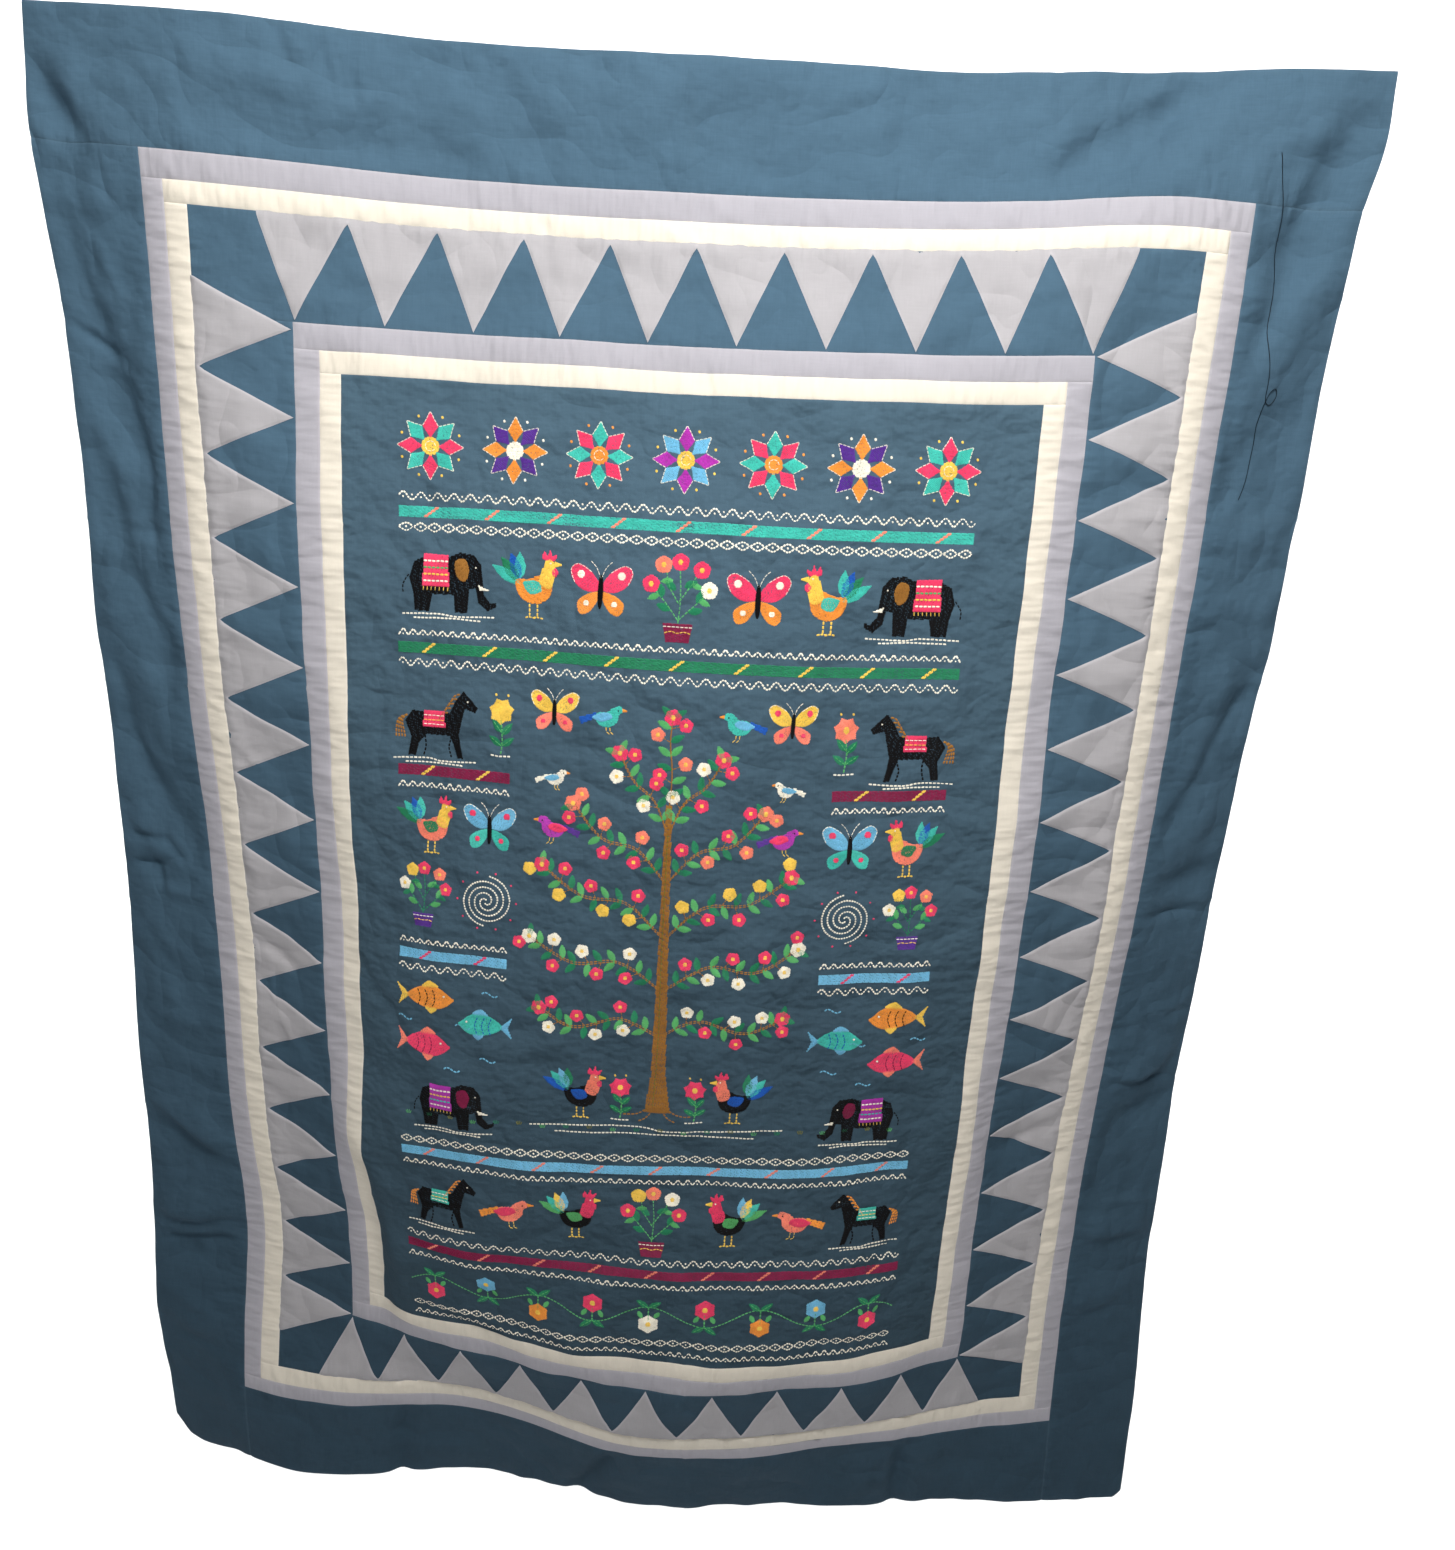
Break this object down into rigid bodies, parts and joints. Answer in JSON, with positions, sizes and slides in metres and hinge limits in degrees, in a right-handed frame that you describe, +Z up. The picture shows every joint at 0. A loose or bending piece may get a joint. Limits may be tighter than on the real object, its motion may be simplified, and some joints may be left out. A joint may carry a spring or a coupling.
{
  "type": "story cloth",
  "caption": "Upright patchwork hanging with strip borders, a sawtooth band and an embroidered centre panel, in the soft shape it takes when held by its two top corners.",
  "frame": {"origin": "middle of the cloth's top edge, 15 mm below the level of its two held corners", "axes": "+X across the cloth to the right of someone facing it, -Y out of the embroidered face, +Z up"},
  "size_m": [0.9706, 0.1558, 1.2861],
  "materials": {
    "border_blue_cotton": "matt plain-woven cotton",
    "outer_lavender_cotton": "matt plain-woven cotton",
    "outer_cream_cotton": "matt plain-woven cotton",
    "band_blue_cotton": "matt plain-woven cotton",
    "tooth_lavender_cotton": "matt plain-woven cotton, sewn down over the blue band",
    "inner_lavender_cotton": "matt plain-woven cotton",
    "inner_cream_cotton": "matt plain-woven cotton",
    "panel_blue_cotton": "matt plain-woven cotton, the ground of the embroidery"
  },
  "bodies": {
    "root": {"border_top": "border_blue_cotton", "border_left": "border_blue_cotton", "border_right": "border_blue_cotton", "border_bottom": "border_blue_cotton", "lavender_outer_top": "outer_lavender_cotton", "lavender_outer_bottom": "outer_lavender_cotton", "lavender_outer_left": "outer_lavender_cotton", "lavender_outer_right": "outer_lavender_cotton", "cream_outer_top": "outer_cream_cotton", "cream_outer_bottom": "outer_cream_cotton", "cream_outer_left": "outer_cream_cotton", "cream_outer_right": "outer_cream_cotton", "band_ground_top": "band_blue_cotton", "band_ground_bottom": "band_blue_cotton", "band_ground_left": "band_blue_cotton", "band_ground_right": "band_blue_cotton", "band_teeth_top": "tooth_lavender_cotton", "band_teeth_bottom": "tooth_lavender_cotton", "band_teeth_left": "tooth_lavender_cotton", "band_teeth_right": "tooth_lavender_cotton", "lavender_inner_top": "inner_lavender_cotton", "lavender_inner_bottom": "inner_lavender_cotton", "lavender_inner_left": "inner_lavender_cotton", "lavender_inner_right": "inner_lavender_cotton", "cream_inner_top": "inner_cream_cotton", "cream_inner_bottom": "inner_cream_cotton", "cream_inner_left": "inner_cream_cotton", "cream_inner_right": "inner_cream_cotton", "centre_panel": "panel_blue_cotton"}
  },
  "joints": []
}
